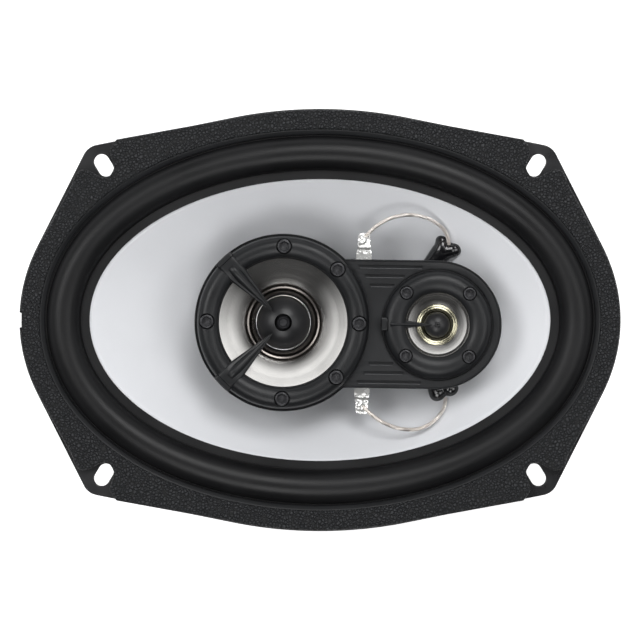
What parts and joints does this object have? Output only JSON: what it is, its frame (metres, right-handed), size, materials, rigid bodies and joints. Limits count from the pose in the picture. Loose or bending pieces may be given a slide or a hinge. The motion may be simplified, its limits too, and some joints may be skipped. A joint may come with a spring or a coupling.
{
  "type": "coaxial car speaker",
  "caption": "Oval coaxial car loudspeaker: silver woofer cone in a pressed steel basket, with a midrange and a tweeter on an offset pod.",
  "frame": {"origin": "on the woofer's axis, in the plane of the flange's rear face, which seats on the panel", "axes": "+Z out of the front, the way the sound goes; +X along the flange's long axis, towards the tweeter; +Y across it, with the terminals on the -Y side"},
  "size_m": [0.2351, 0.1652, 0.0928],
  "materials": {
    "frame_paint": "satin black baked paint",
    "gasket_grain": "leather-grained black",
    "surround_rubber": "satin black",
    "cone_silver": "pearl silver coating",
    "spider_cloth": "resin-dipped tan cloth",
    "former_film": "amber film",
    "coil_copper": "enamelled copper",
    "black_adhesive": "wet-looking black",
    "tinsel_braid": "tinned braid",
    "zinc_steel": "bright zinc plate",
    "ferrite": "ground grey-black ceramic",
    "board_laminate": "brown paper laminate",
    "tinned_brass": "tin plated",
    "wire_red": "smooth insulation",
    "wire_black": "smooth insulation",
    "pod_plastic": "satin black moulding",
    "bezel_plastic": "satin black moulding",
    "screw_black": "black oxide",
    "solder_tin": "bright solder",
    "capacitor_sleeve": "blue sleeve",
    "horn_silver": "mirror metallised",
    "plug_gloss": "satin-gloss black",
    "mid_rubber": "matt black",
    "tweeter_film": "translucent gold film",
    "neodymium_plate": "nickel plated"
  },
  "bodies": {
    "frame_assembly": {"basket": "frame_paint", "gasket": "gasket_grain", "surround": "surround_rubber", "spider": "spider_cloth", "tinsel_lead_upper": "tinsel_braid", "tinsel_lead_lower": "tinsel_braid", "top_plate": "zinc_steel", "ferrite_magnet": "ferrite", "pole_yoke": "zinc_steel", "plate_rivets": "zinc_steel", "post_tube": "zinc_steel", "spacer_sleeve": "pod_plastic", "post_washer": "zinc_steel", "post_nut": "zinc_steel", "terminal_board": "board_laminate", "terminal_positive": "tinned_brass", "terminal_negative": "tinned_brass", "terminal_rivets": "tinned_brass", "lead_wire_positive": "wire_red", "lead_wire_negative": "wire_black", "pod_base": "pod_plastic", "pod_housing": "pod_plastic", "pod_screws": "screw_black", "solder_lug_upper": "solder_tin", "solder_lug_lower": "solder_tin", "mid_capacitor": "capacitor_sleeve", "tweeter_capacitor": "capacitor_sleeve", "mid_bezel": "bezel_plastic", "mid_bezel_screws": "screw_black", "mid_phase_plug": "plug_gloss", "mid_plug_screw": "screw_black", "mid_surround": "mid_rubber", "mid_frame": "frame_paint", "mid_top_plate": "zinc_steel", "mid_magnet": "ferrite", "mid_yoke": "zinc_steel", "tweeter_bezel": "bezel_plastic", "tweeter_bezel_screws": "screw_black", "tweeter_horn": "horn_silver", "tweeter_pole_cap": "zinc_steel", "tweeter_magnet": "neodymium_plate", "tweeter_yoke": "zinc_steel"},
    "woofer_moving": {"cone": "cone_silver", "voice_coil_former": "former_film", "voice_coil_winding": "coil_copper", "lead_dab_upper": "black_adhesive", "lead_dab_lower": "black_adhesive"},
    "mid_moving": {"mid_cone": "horn_silver", "mid_voice_coil": "coil_copper"},
    "tweeter_moving": {"tweeter_diaphragm": "tweeter_film", "tweeter_voice_coil": "coil_copper"}
  },
  "joints": [
    {"name": "woofer_stroke", "type": "slide", "parent": "frame_assembly", "child": "woofer_moving", "axis": [0, 0, 1], "range_m": [-0.005, 0.005], "stiffness_N_per_m": 2800, "deforming": ["surround", "spider", "tinsel_lead_upper", "tinsel_lead_lower"]},
    {"name": "mid_stroke", "type": "slide", "parent": "frame_assembly", "child": "mid_moving", "axis": [0, 0, 1], "range_m": [-0.0008, 0.0008], "stiffness_N_per_m": 4000, "deforming": ["mid_surround"]},
    {"name": "tweeter_stroke", "type": "slide", "parent": "frame_assembly", "child": "tweeter_moving", "axis": [0, 0, 1], "range_m": [-0.0003, 0.0003], "stiffness_N_per_m": 1500}
  ]
}
